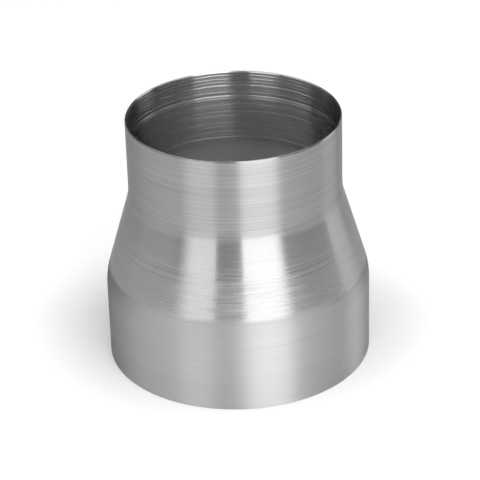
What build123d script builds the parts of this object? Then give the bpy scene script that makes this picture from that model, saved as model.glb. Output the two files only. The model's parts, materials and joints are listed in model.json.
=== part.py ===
# Duct reducer, spun from one disc of aluminium sheet: a large round collar, a
# conical shoulder and a small round collar in one even wall, open at both ends.
# Millimetres, +Z up. The origin is the centre of the large rim, on which it stands.

import os

from build123d import *

# Driving dimensions
large_diameter = 127.0  # outside of the large collar, to fit a 5 inch duct
small_diameter = 101.6  # outside of the small collar, to fit a 4 inch duct
wall = 1.0  # sheet thickness, the same all over
large_collar = 41.0  # from the large rim up to the corner of the collar and the cone
shoulder = 43.0  # rise of the cone from one corner to the other
small_collar = 38.5  # from the upper corner to the small rim
large_bend = 34.0  # outside radius of the rounded turn from large collar to cone
small_bend = 26.0  # outside radius of the hollow turn from cone to small collar
deburr = 0.3  # bevel on the trimmed edges of both rims

# Heights of the two corners and of the small rim above the large rim
lower_corner = large_collar
upper_corner = lower_corner + shoulder
overall_height = upper_corner + small_collar

# Each bevel takes a third of the sheet at most, which leaves a flat between the two
rim_bevel = min(deburr, wall / 3)

# The outside of the shell is one line, up the large collar, in along the cone and
# up the small collar, with both turns tangent. The wall lies inside that line, so
# each turn keeps the sheet's thickness, as it does where the metal is spun.
with BuildPart() as reducer_shell:
    with BuildSketch(Plane.XZ) as section:
        with BuildLine():
            FilletPolyline(
                (large_diameter / 2, 0),
                (large_diameter / 2, lower_corner),
                (small_diameter / 2, upper_corner),
                (small_diameter / 2, overall_height),
                radius=[large_bend, small_bend],
            )
            offset(amount=wall, side=Side.LEFT)
        make_face()
        large_rim = section.vertices().group_by(Axis.Y)[0]
        small_rim = section.vertices().group_by(Axis.Y)[-1]
        chamfer(large_rim + small_rim, length=rim_bevel)
    revolve(axis=Axis.Z)

reducer_shell.part.label = "reducer_shell"

os.makedirs("parts", exist_ok=True)
export_step(reducer_shell.part, "parts/reducer_shell.step")
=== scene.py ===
import json
from math import atan2, cos, pi, radians, sin, tan

import bpy
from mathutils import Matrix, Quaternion, Vector


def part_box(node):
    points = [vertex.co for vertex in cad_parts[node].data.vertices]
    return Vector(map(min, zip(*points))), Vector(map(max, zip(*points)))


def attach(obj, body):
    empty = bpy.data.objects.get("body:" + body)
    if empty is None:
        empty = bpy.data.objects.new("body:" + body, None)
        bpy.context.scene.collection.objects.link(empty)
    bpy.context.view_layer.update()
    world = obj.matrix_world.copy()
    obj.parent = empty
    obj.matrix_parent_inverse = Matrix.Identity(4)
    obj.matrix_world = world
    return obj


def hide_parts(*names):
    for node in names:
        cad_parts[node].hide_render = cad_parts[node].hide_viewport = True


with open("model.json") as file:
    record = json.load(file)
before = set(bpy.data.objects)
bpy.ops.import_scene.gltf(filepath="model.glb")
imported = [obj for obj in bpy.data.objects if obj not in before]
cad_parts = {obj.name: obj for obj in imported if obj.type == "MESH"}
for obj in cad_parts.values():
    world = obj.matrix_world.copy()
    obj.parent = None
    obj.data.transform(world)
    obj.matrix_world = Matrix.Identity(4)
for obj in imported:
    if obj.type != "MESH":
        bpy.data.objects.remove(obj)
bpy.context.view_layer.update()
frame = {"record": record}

scene = bpy.context.scene
scene.view_settings.view_transform = "Standard"


# The shell: one disc of soft aluminium sheet, spun over a turning former and trimmed at both ends.
# A large collar runs through a rounded turn into a cone, and through a hollow turn into a small collar.
# The roller leaves fine rings round the axis, satin outside and coarser inside the small collar.

mounts = {mount["name"]: mount for mount in frame["record"]["mounts"]}
large_radius = mounts["large_collar"]["dims"]["r_mm"] / 1000
small_radius = mounts["small_collar"]["dims"]["r_mm"] / 1000
wall = large_radius - mounts["large_bore"]["dims"]["r_mm"] / 1000
step_in = small_radius - large_radius
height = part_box("reducer_shell")[1].z
lower_corner = 0.041
upper_corner = 0.084
top_groove = 0.0674
middle_groove = 0.0660
bottom_groove = 0.0630


def add_node(tree, kind, inputs=None, **settings):
    """A node with its settings, and its inputs set to a value or joined to another node's output."""
    made = tree.nodes.new(kind)
    for name, value in settings.items():
        setattr(made, name, value)
    for socket, value in (inputs or {}).items():
        if isinstance(value, bpy.types.NodeSocket):
            tree.links.new(value, made.inputs[socket])
        else:
            made.inputs[socket].default_value = value
    return made


def maths(tree, operation, *values, clamp=False):
    """The result of one sum on numbers or on other nodes' outputs."""
    inputs = dict(enumerate(values))
    return add_node(tree, "ShaderNodeMath", inputs, operation=operation, use_clamp=clamp).outputs[0]


def vector_maths(tree, operation, inputs, result="Vector"):
    """The result of one sum on vectors."""
    return add_node(tree, "ShaderNodeVectorMath", inputs, operation=operation).outputs[result]


def between(tree, value, low, high, to_low=0.0, to_high=1.0):
    """A value brought smoothly from one range to another."""
    inputs = {0: value, 1: low, 2: high, 3: to_low, 4: to_high}
    return add_node(tree, "ShaderNodeMapRange", inputs, interpolation_type="SMOOTHSTEP").outputs[0]


def by_side(tree, inside, outer, inner):
    """One value on the outside of the wall and another on the inside."""
    return add_node(tree, "ShaderNodeMix", {0: inside, 2: outer, 3: inner}).outputs[0]


def shell_section():
    """The cut through the wall as a closed line: its corners, and how far each is rounded."""
    large_bend = 0.034
    small_bend = 0.026
    rim_round = 0.0003
    lip_round = 0.0002
    lip_bevel_tall = 0.0008
    lip_bevel_deep = 0.00036
    lean = atan2(large_radius - small_radius, upper_corner - lower_corner)
    drop = wall * tan(lean / 2)
    corners = [
        (0, 0, rim_round),
        (0, lower_corner, large_bend),
        (step_in, upper_corner, small_bend),
        (step_in, height - lip_bevel_tall, lip_bevel_deep),
        (step_in - lip_bevel_deep, height, lip_round),
        (step_in - wall + lip_bevel_deep, height, lip_round),
        (step_in - wall, height - lip_bevel_tall, lip_bevel_deep),
        (step_in - wall, upper_corner - drop, small_bend + wall),
        (-wall, lower_corner - drop, large_bend - wall),
        (-wall, 0, rim_round),
    ]
    line = bpy.data.curves.new("shell_section", "CURVE")
    line.dimensions = "3D"
    spline = line.splines.new("POLY")
    spline.points.add(len(corners) - 1)
    spline.use_cyclic_u = True
    for point, (out, up, rounding) in zip(spline.points, corners):
        point.co = (out, -up, 0, 1)
        point.radius = rounding
    return line


def rounded_section(tree, given):
    """The section with its corners rounded and its runs divided into steps, shorter inside the collar."""
    least_bend = 0.005
    bend_points = 24.0
    edge_points = 6.0
    shorter_by = 0.45
    rounding = add_node(tree, "GeometryNodeInputRadius").outputs[0]
    is_bend = maths(tree, "GREATER_THAN", rounding, least_bend)
    points = maths(tree, "MULTIPLY_ADD", is_bend, bend_points - edge_points, edge_points)
    rounded = add_node(
        tree, "GeometryNodeFilletCurve",
        {"Curve": given["Section"], "Count": points, "Radius": rounding}, mode="POLY",
    ).outputs[0]
    here = add_node(tree, "GeometryNodeInputPosition").outputs[0]
    index = add_node(tree, "GeometryNodeInputIndex").outputs[0]
    following = add_node(tree, "GeometryNodeOffsetPointInCurve", {"Point Index": index, "Offset": 1})
    there = add_node(
        tree, "GeometryNodeFieldAtIndex", {0: here, "Index": following.outputs["Point Index"]},
        data_type="FLOAT_VECTOR", domain="POINT",
    ).outputs[0]
    gap = vector_maths(tree, "DISTANCE", {0: here, 1: there}, "Value")
    across = add_node(tree, "ShaderNodeSeparateXYZ", {0: here}).outputs[0]
    in_collar = maths(tree, "LESS_THAN", across, step_in - wall / 2)
    step = maths(tree, "MULTIPLY_ADD", in_collar, -shorter_by, 1.0)
    step = maths(tree, "MULTIPLY", given["Step Along"], step)
    cuts = maths(tree, "DIVIDE", gap, step)
    return add_node(tree, "GeometryNodeSubdivideCurve", {"Curve": rounded, "Cuts": cuts}).outputs[0]


def ring_wander(tree, up, rings_per_metre, seed):
    """A number from 0 to 1 that wanders from ring to ring up the section."""
    usual_low = 0.25
    usual_high = 0.75
    along = maths(tree, "MULTIPLY_ADD", up, rings_per_metre, seed)
    inputs = {"W": along, "Scale": 1.0, "Detail": 1.0}
    wander = add_node(tree, "ShaderNodeTexNoise", inputs, noise_dimensions="1D").outputs[0]
    return between(tree, wander, usual_low, usual_high)


def ring_at(tree, up, ring_height, half_width, share):
    """One ring alone: that share of its full depth in the middle, and none at its edges."""
    from_ring = maths(tree, "ABSOLUTE", maths(tree, "SUBTRACT", up, ring_height))
    return between(tree, from_ring, 0.0, half_width, share, 0.0)


def inside_depth(tree, given, up, off_edge):
    """How deep the inside is pressed: rings that wander, and one ring each at lip, collar and turn."""
    turn_end = upper_corner - 0.002
    collar_start = upper_corner + 0.006
    faint_end = height - 0.0185
    full_start = height - 0.0150
    faint_share = 0.30
    steps_in_pitch = 2.0
    lone_rings = (
        (height - 0.0019, 0.0018, 0.80),
        (height - 0.0126, 0.0026, 0.55),
        (upper_corner + 0.0037, 0.0008, 0.45),
    )
    rings_per_metre = maths(tree, "DIVIDE", steps_in_pitch, given["Ring Pitch Inside"])
    ridges = ring_wander(tree, up, rings_per_metre, seed=3.0)
    near_rim = between(tree, up, faint_end, full_start, faint_share, 1.0)
    in_collar = between(tree, up, turn_end, collar_start)
    depth = given["Ring Depth Inside"]
    for share in (ridges, near_rim, off_edge, in_collar):
        depth = maths(tree, "MULTIPLY", depth, share)
    for ring_height, half_width, share in lone_rings:
        ring = ring_at(tree, up, ring_height, half_width, share)
        depth = maths(tree, "MULTIPLY_ADD", ring, given["Lip Depth"], depth)
    return depth


def outside_depth(tree, given, up, off_edge):
    """How deep the outside is pressed: very fine rings all over, and three grooves round the cone."""
    groove_half_width = 0.0007
    foot_edge = 0.0008
    foot_clear = 0.002
    ridges = ring_wander(tree, up, rings_per_metre=1000.0, seed=29.0)
    fine = maths(tree, "MULTIPLY", given["Ring Depth Outside"], ridges)
    off_foot = between(tree, up, foot_edge, foot_clear)
    on_body = maths(tree, "MULTIPLY", off_foot, off_edge)
    depth = maths(tree, "MULTIPLY", fine, on_body)
    for groove_height in (top_groove, middle_groove, bottom_groove):
        groove = ring_at(tree, up, groove_height, groove_half_width, 1.0)
        depth = maths(tree, "MULTIPLY_ADD", groove, given["Groove Depth"], depth)
    return depth


def pressed_rings(tree, given, section, inward, into_wall):
    """The section with the roller's rings pressed into both faces, leaving the lip's own edges alone."""
    rings_end = height - 0.0016
    edge_start = height - 0.0007
    place = add_node(tree, "GeometryNodeInputPosition").outputs[0]
    down = add_node(tree, "ShaderNodeSeparateXYZ", {0: place}).outputs[1]
    up = maths(tree, "MULTIPLY", down, -1.0)
    off_edge = between(tree, up, rings_end, edge_start, 1.0, 0.0)
    depth_in = inside_depth(tree, given, up, off_edge)
    depth_out = outside_depth(tree, given, up, off_edge)
    depth = by_side(tree, inward, depth_out, depth_in)
    push = vector_maths(tree, "SCALE", {0: into_wall, 3: depth})
    return add_node(tree, "GeometryNodeSetPosition", {"Geometry": section, "Offset": push}).outputs[0]


def spinning_tree():
    """Rounds and divides the section, presses the rings into it and turns it once about the axis."""
    tree = bpy.data.node_groups.new("spinning", "GeometryNodeTree")
    tree.is_modifier = True
    face = tree.interface
    face.new_socket("Section", in_out="INPUT", socket_type="NodeSocketGeometry")
    for name, kind in (
        ("Large Radius", "NodeSocketFloat"),
        ("Steps Around", "NodeSocketInt"),
        ("Step Along", "NodeSocketFloat"),
        ("Ring Pitch Inside", "NodeSocketFloat"),
        ("Ring Depth Inside", "NodeSocketFloat"),
        ("Lip Depth", "NodeSocketFloat"),
        ("Ring Depth Outside", "NodeSocketFloat"),
        ("Groove Depth", "NodeSocketFloat"),
        ("Metal", "NodeSocketMaterial"),
    ):
        face.new_socket(name, in_out="INPUT", socket_type=kind)
    face.new_socket("Shell", in_out="OUTPUT", socket_type="NodeSocketGeometry")
    given = tree.nodes.new("NodeGroupInput").outputs
    section = rounded_section(tree, given)
    into_wall = add_node(tree, "GeometryNodeInputNormal").outputs[0]
    facing = add_node(tree, "ShaderNodeSeparateXYZ", {0: into_wall}).outputs[0]
    inward = maths(tree, "GREATER_THAN", facing, 0.0)
    marked = add_node(
        tree, "GeometryNodeStoreNamedAttribute",
        {"Geometry": section, "Name": "inside", "Value": inward},
        data_type="FLOAT", domain="POINT",
    ).outputs[0]
    ringed = pressed_rings(tree, given, marked, inward, into_wall)
    turn = add_node(
        tree, "GeometryNodeCurvePrimitiveCircle",
        {"Resolution": given["Steps Around"], "Radius": given["Large Radius"]}, mode="RADIUS",
    ).outputs[0]
    spun = add_node(tree, "GeometryNodeCurveToMesh", {"Curve": turn, "Profile Curve": ringed}).outputs[0]
    outward = add_node(tree, "GeometryNodeFlipFaces", {"Mesh": spun}).outputs[0]
    smooth = add_node(tree, "GeometryNodeSetShadeSmooth", {"Geometry": outward}).outputs[0]
    whole = add_node(tree, "GeometryNodeRealizeInstances", {"Geometry": smooth}).outputs[0]
    dressed = {"Geometry": whole, "Material": given["Metal"]}
    metal = add_node(tree, "GeometryNodeSetMaterial", dressed).outputs[0]
    out = tree.nodes.new("NodeGroupOutput")
    tree.links.new(metal, out.inputs[0])
    return tree


# The heights where the finish and the painted light and shade in its grey change up the outside: from the
# large collar to the cone, partway up the cone, from the cone to the small collar, and at the lip.

collar_end = lower_corner + 0.0035
cone_start = lower_corner + 0.0065
low_cone = lower_corner + 0.019
streaked_end = lower_corner + 0.021
plain_start = upper_corner - 0.015
cone_end = upper_corner - 0.001
neck_start = upper_corner + 0.0005
neck_end = height - 0.0010
lip_start = height - 0.0007


def ring_marks(tree, place, length, pitch, detail, seed):
    """Marks from about -0.5 to 0.5 drawn out round the axis, with their length and their pitch up it."""
    stretched = add_node(tree, "ShaderNodeMapping", {
        "Vector": place, "Location": (seed, seed, seed), "Scale": (1 / length, 1 / length, 1 / pitch),
    }).outputs[0]
    inputs = {"Vector": stretched, "Scale": 1.0, "Detail": detail, "Roughness": 0.6}
    noise = add_node(tree, "ShaderNodeTexNoise", inputs, noise_dimensions="3D").outputs[0]
    contrast = 2.2
    return maths(tree, "MULTIPLY_ADD", noise, contrast, -contrast / 2)


def by_height(tree, up, levels):
    """A number that runs through the given levels, each at its height."""
    ramp = add_node(tree, "ShaderNodeValToRGB", {0: maths(tree, "DIVIDE", up, height)})
    stops = ramp.color_ramp.elements
    while len(stops) < len(levels):
        stops.new(1.0)
    for stop, (level_height, level) in zip(stops, levels):
        stop.position = level_height / height
        stop.color = (level, level, level, 1)
    return ramp.outputs[0]


def metal_roughness(tree, up, inside, outside, scuff):
    """Matt on the large collar, satin on the cone and the small collar, and uneven inside."""
    outside_scuff = 0.03
    inside_scuff = 0.12
    inside_finish = 0.235
    finish = by_height(tree, up, (
        (collar_end, 0.62), (cone_start, 0.27), (cone_end, 0.26),
        (neck_start, 0.305), (neck_end, 0.305), (lip_start, 0.26),
    ))
    marks = maths(tree, "MULTIPLY", scuff, outside)
    outside_rough = maths(tree, "MULTIPLY_ADD", marks, outside_scuff, finish)
    inside_rough = maths(tree, "MULTIPLY_ADD", scuff, inside_scuff, inside_finish)
    return by_side(tree, inside, outside_rough, inside_rough)


def metal_grey_with_painted_light(tree, up, inside, outside, streaks, bands):
    """The grey of the metal with painted light and shade: paler on the large collar and high inside, darker
    on the cone, the small collar and deep inside, with the streaks' fine lines in it.
    """
    band_contrast = 0.04
    turn_top = upper_corner + 0.002
    faint_rings = height - 0.0195
    full_rings = height - 0.0155
    # Painted light and shade: the one metal is set pale on the large collar and dark on the cone and small
    # collar, standing in for how bright each zone's reflections are.
    outside_painted_shading = by_height(tree, up, (
        (collar_end, 0.575), (cone_start, 0.355), (low_cone, 0.345), (cone_end, 0.316), (neck_start, 0.314),
    ))
    # Painted shade inside: the grey is palest near the rim and darkens down towards the turn, deeper in the
    # hollow.
    inside_painted_shading = by_height(tree, up, ((turn_top, 0.49), (faint_rings, 0.57), (full_rings, 0.62)))
    lined = by_height(tree, up, (
        (collar_end, 0.09), (cone_start, 0.05), (middle_groove, 0.10), (cone_end, 0.06), (neck_start, 0.28),
    ))
    plain = by_side(tree, inside, outside_painted_shading, inside_painted_shading)
    banded = maths(tree, "MULTIPLY_ADD", bands, band_contrast, 1.0)
    lines = maths(tree, "MULTIPLY_ADD", maths(tree, "MULTIPLY", streaks, outside), lined, banded)
    tone = maths(tree, "MULTIPLY", plain, lines)
    return add_node(tree, "ShaderNodeCombineColor", {0: tone, 1: tone, 2: tone}).outputs[0]


def leaning_hairs(tree, place, spot, outside, streaks):
    """The normal, turned round the axis on a share of the finest scratches, which spreads the light."""
    full_lean = 0.34
    uneven_scale = 10.0
    even_end = lower_corner + 0.009
    up = spot[2]
    hairs = ring_marks(tree, place, length=0.040, pitch=0.00002, detail=0.0, seed=13.0)
    loose = ring_marks(tree, place, length=0.040, pitch=0.00002, detail=0.0, seed=31.0)
    leaning = by_height(tree, up, (
        (collar_end, 0.0), (cone_start, 0.45), (streaked_end, 0.45), (plain_start, 0.14),
        (cone_end, 0.12), (neck_start, 0.11), (neck_end, 0.11), (lip_start, 0.0),
    ))
    uneven = by_height(tree, up, (
        (even_end, 0.03), (streaked_end, 0.07), (plain_start, 0.20), (cone_end, 0.20), (neck_start, 0.90),
    ))
    softened = by_height(tree, up, (
        (collar_end, 0.0), (cone_start, 0.05), (low_cone, 0.04),
        (plain_start, 0.0), (cone_end, 0.0), (neck_start, 0.02),
    ))
    leaning = maths(tree, "MULTIPLY", leaning, outside)
    softened = maths(tree, "MULTIPLY", softened, outside)
    uneven = maths(tree, "MULTIPLY", maths(tree, "MULTIPLY", uneven, uneven_scale), streaks)
    share = maths(tree, "MULTIPLY", leaning, maths(tree, "ADD", uneven, 1.0))
    chance = maths(tree, "ADD", loose, 0.5)
    leans = maths(tree, "LESS_THAN", chance, share)
    turned = maths(tree, "MULTIPLY", maths(tree, "MULTIPLY_ADD", leans, full_lean, softened), hairs)
    backward = maths(tree, "MULTIPLY", spot[1], -1.0)
    sideways = add_node(tree, "ShaderNodeCombineXYZ", {0: backward, 1: spot[0]}).outputs[0]
    sideways = vector_maths(tree, "NORMALIZE", {0: sideways})
    skew = vector_maths(tree, "SCALE", {0: sideways, 3: turned})
    straight = add_node(tree, "ShaderNodeNewGeometry").outputs["Normal"]
    skewed = vector_maths(tree, "ADD", {0: straight, 1: skew})
    return vector_maths(tree, "NORMALIZE", {0: skewed})


def metal_relief(tree, up, inside, marks, normal):
    """The normal with the rings' shallow relief: full on the collars, faint on the cone, none on the lip."""
    relief_depth = 0.00004
    inside_ridged = 0.30
    ridged = by_height(tree, up, (
        (collar_end, 0.80), (cone_start, 0.05), (cone_end, 0.05),
        (neck_start, 0.80), (neck_end, 0.80), (lip_start, 0.0),
    ))
    relief = maths(tree, "MULTIPLY", marks, by_side(tree, inside, ridged, inside_ridged))
    inputs = {"Strength": 1.0, "Distance": relief_depth, "Height": relief, "Normal": normal}
    return add_node(tree, "ShaderNodeBump", inputs).outputs[0]


def spun_aluminium():
    """Bare aluminium, brushed round the axis by the roller: satin outside and coarser inside, its grey
    carrying painted light and shade, paler inside.
    """
    metal = bpy.data.materials.new("spun_aluminium")
    metal.use_nodes = True
    tree = metal.node_tree
    surface = tree.nodes["Principled BSDF"].inputs
    surface["Metallic"].default_value = 1
    surface["Specular Tint"].default_value = (0.6, 0.6, 0.6, 1)
    surface["Anisotropic"].default_value = 1
    surface["Anisotropic Rotation"].default_value = 0.25
    around = add_node(tree, "ShaderNodeTangent", direction_type="RADIAL", axis="Z").outputs[0]
    place = add_node(tree, "ShaderNodeTexCoord").outputs["Object"]
    spot = add_node(tree, "ShaderNodeSeparateXYZ", {0: place}).outputs
    up = spot[2]
    inside = add_node(tree, "ShaderNodeAttribute", attribute_name="inside").outputs["Fac"]
    outside = maths(tree, "SUBTRACT", 1.0, inside)
    streaks = ring_marks(tree, place, length=0.080, pitch=0.00038, detail=1.0, seed=0.0)
    rings = ring_marks(tree, place, length=0.120, pitch=0.0009, detail=1.0, seed=7.0)
    bands = ring_marks(tree, place, length=0.200, pitch=0.004, detail=2.0, seed=23.0)
    ring_share = 0.35
    streak_share = 0.65
    scuff = maths(tree, "MULTIPLY_ADD", rings, ring_share, maths(tree, "MULTIPLY", streaks, streak_share))
    rough = metal_roughness(tree, up, inside, outside, scuff)
    colour = metal_grey_with_painted_light(tree, up, inside, outside, streaks, bands)
    skewed = leaning_hairs(tree, place, spot, outside, streaks)
    normal = metal_relief(tree, up, inside, maths(tree, "ADD", bands, scuff), skewed)
    tree.links.new(around, surface["Tangent"])
    tree.links.new(rough, surface["Roughness"])
    tree.links.new(colour, surface["Base Color"])
    tree.links.new(normal, surface["Normal"])
    return metal


def made_mesh(name, source, tree, values):
    """The plain mesh that a geometry tree makes of a curve."""
    maker = bpy.data.objects.new(name + "_maker", source)
    scene.collection.objects.link(maker)
    modifier = maker.modifiers.new("spinning", "NODES")
    modifier.node_group = tree
    sockets = {
        item.name: item.identifier for item in tree.interface.items_tree if item.in_out == "INPUT"
    }
    for socket, value in values.items():
        modifier[sockets[socket]] = value
    graph = bpy.context.evaluated_depsgraph_get()
    mesh = bpy.data.meshes.new_from_object(maker.evaluated_get(graph), depsgraph=graph)
    bpy.data.objects.remove(maker)
    mesh.name = name
    return mesh


shell_mesh = made_mesh("spun_shell", shell_section(), spinning_tree(), {
    "Large Radius": large_radius,
    "Steps Around": 160,
    "Step Along": 0.00052,
    "Ring Pitch Inside": 0.0023,
    "Ring Depth Inside": 0.00018,
    "Lip Depth": 0.00018,
    "Ring Depth Outside": 0.000005,
    "Groove Depth": 0.00006,
    "Metal": spun_aluminium(),
})
shell = bpy.data.objects.new("spun_shell", shell_mesh)
scene.collection.objects.link(shell)
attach(shell, "root")
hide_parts("reducer_shell")


# The floor: a plain sheet of matt pale paper under the shell, wide enough to fill the camera's view.
# It is whitened only where the camera or a reflection sees it, a little more far from the shell.
# The whitening starts at the shell's foot, so the soft shadow there stays.

floor_reach = 3.0
floor_mesh = bpy.data.meshes.new("floor")
floor_corners = [
    (-floor_reach, -floor_reach, 0),
    (floor_reach, -floor_reach, 0),
    (floor_reach, floor_reach, 0),
    (-floor_reach, floor_reach, 0),
]
floor_mesh.from_pydata(floor_corners, [], [(0, 1, 2, 3)])
floor = bpy.data.objects.new("floor", floor_mesh)
scene.collection.objects.link(floor)
paper = bpy.data.materials.new("pale_paper")
paper.use_nodes = True
paper_tree = paper.node_tree
sheet = paper_tree.nodes["Principled BSDF"].inputs
sheet["Base Color"].default_value = (0.9, 0.9, 0.9, 1)
sheet["Roughness"].default_value = 0.9
sheet["Specular IOR Level"].default_value = 0
sheet["Emission Color"].default_value = (1, 1, 1, 1)
ray = add_node(paper_tree, "ShaderNodeLightPath").outputs
seen = maths(paper_tree, "ADD", ray["Is Camera Ray"], ray["Is Glossy Ray"])
seen = maths(paper_tree, "ADD", seen, ray["Is Transmission Ray"], clamp=True)
near_white = 0.25
far_white = 0.09
paper_place = add_node(paper_tree, "ShaderNodeTexCoord").outputs["Object"]
from_middle = vector_maths(paper_tree, "LENGTH", {0: paper_place}, "Value")
near = between(paper_tree, from_middle, large_radius, 2 * large_radius, 0.0, near_white)
far = between(paper_tree, from_middle, 4 * large_radius, 7 * large_radius, 0.0, far_white)
whitening = maths(paper_tree, "MULTIPLY", seen, maths(paper_tree, "ADD", near, far))
paper_tree.links.new(whitening, sheet["Emission Strength"])
floor_mesh.materials.append(paper)


# The studio: a grey room with soft boxes round the object, each given by its bearing and its height.
# Two tall ones in front, right and left of the camera, make the shell's two light bands, and their low
# rows end in dimmer strips for soft outer edges. Smaller ones at the sides, back and top even the rest.

room = bpy.data.worlds.new("grey_room")
room.use_nodes = True
room.node_tree.nodes["Background"].inputs["Color"].default_value = (0.12, 0.12, 0.12, 1)
room.node_tree.nodes["Background"].inputs["Strength"].default_value = 1.0
scene.world = room
middle = Vector((0, 0, height / 2))
usual_distance = 0.9
near_distance = 0.5
top_distance = 1.2
right_inner = 4.5
right_outer = 41.5
left_inner = -20
left_outer = -49
right_foot = -6.8
left_foot = -2
low_top = 16
middle_top = 36
high_top = 58
right_low_level = 3.8
left_low_level = 3.75


def soft_box(name, left, right, low, high, away, radiance):
    """A soft box that fills those bearings, left to right of the camera's, and heights, in degrees."""
    bearing = radians((left + right) / 2)
    rise = radians((low + high) / 2)
    width = 2 * away * tan(radians(right - left) / 2)
    tall = 2 * away * tan(radians(high - low) / 2)
    lamp = bpy.data.lights.new(name, "AREA")
    lamp.shape = "RECTANGLE"
    lamp.size = width
    lamp.size_y = tall
    lamp.energy = radiance * pi * width * tall
    box = bpy.data.objects.new(name, lamp)
    towards = Vector((sin(bearing) * cos(rise), -cos(bearing) * cos(rise), sin(rise)))
    box.location = middle + towards * away
    box.rotation_euler = towards.to_track_quat("Z", "Y").to_euler()
    box.visible_camera = False
    scene.collection.objects.link(box)


for row, low, high, right_level, left_level in (
    ("middle", low_top, middle_top, 2.7, 0.4),
    ("high", middle_top, high_top, 2.0, 0.1),
):
    soft_box("right_box_" + row, right_inner, right_outer, low, high, usual_distance, right_level)
    soft_box("left_box_" + row, left_outer, left_inner, low, high, usual_distance, left_level)
for part, right_from, right_to, left_from, left_to, share in (
    ("core", right_inner, 37, -44, left_inner, 1.0),
    ("inner_edge", 37, 40, -47.5, -44, 0.75),
    ("edge", 40, 42.5, -51, -47.5, 0.5),
    ("outer_edge", 42.5, 45, -54.5, -51, 0.2),
):
    right_level = right_low_level * share
    left_level = left_low_level * share
    soft_box("right_box_low_" + part, right_from, right_to, right_foot, low_top, near_distance, right_level)
    soft_box("left_box_low_" + part, left_from, left_to, left_foot, low_top, usual_distance, left_level)
for name, left, right, low, high, away, level in (
    ("right_side_box", 58, 100, 36, 58, usual_distance, 2.3),
    ("left_side_box", -105, -62, 36, 58, usual_distance, 2.3),
    ("left_side_low_box", -105, -62, -2, 30, usual_distance, 0.35),
    ("right_back_box", 98, 123, -3.5, 30, usual_distance, 1.4),
    ("right_back_low_box", 134, 158, -2, 20, usual_distance, 0.6),
    ("left_back_box", -132, -108, 20, 45, usual_distance, 0.4),
    ("front_top_box", -19, 4, 40, 70, usual_distance, 1.1),
    ("top_box", 150, 210, 55, 125, top_distance, 0.95),
):
    soft_box(name, left, right, low, high, away, level)


# The camera: a long lens about a metre off, looking down on the shell at about thirty degrees.
# Its place, its aim and its small roll are those that lay the shell's outline on the photograph's.

camera_data = bpy.data.cameras.new("camera")
camera_data.sensor_width = 36
camera_data.lens = 161.3
camera = bpy.data.objects.new("camera", camera_data)
scene.collection.objects.link(camera)
distance = 1.062
elevation = radians(30.829)
tilt = radians(28.174)
pan = radians(0.089)
roll = radians(-1.734)
camera.location = (0, -distance * cos(elevation), distance * sin(elevation))
look = Vector((sin(pan) * cos(tilt), cos(pan) * cos(tilt), -sin(tilt)))
upright = look.to_track_quat("-Z", "Y")
camera.rotation_mode = "QUATERNION"
camera.rotation_quaternion = upright @ Quaternion((0, 0, 1), roll)
scene.camera = camera
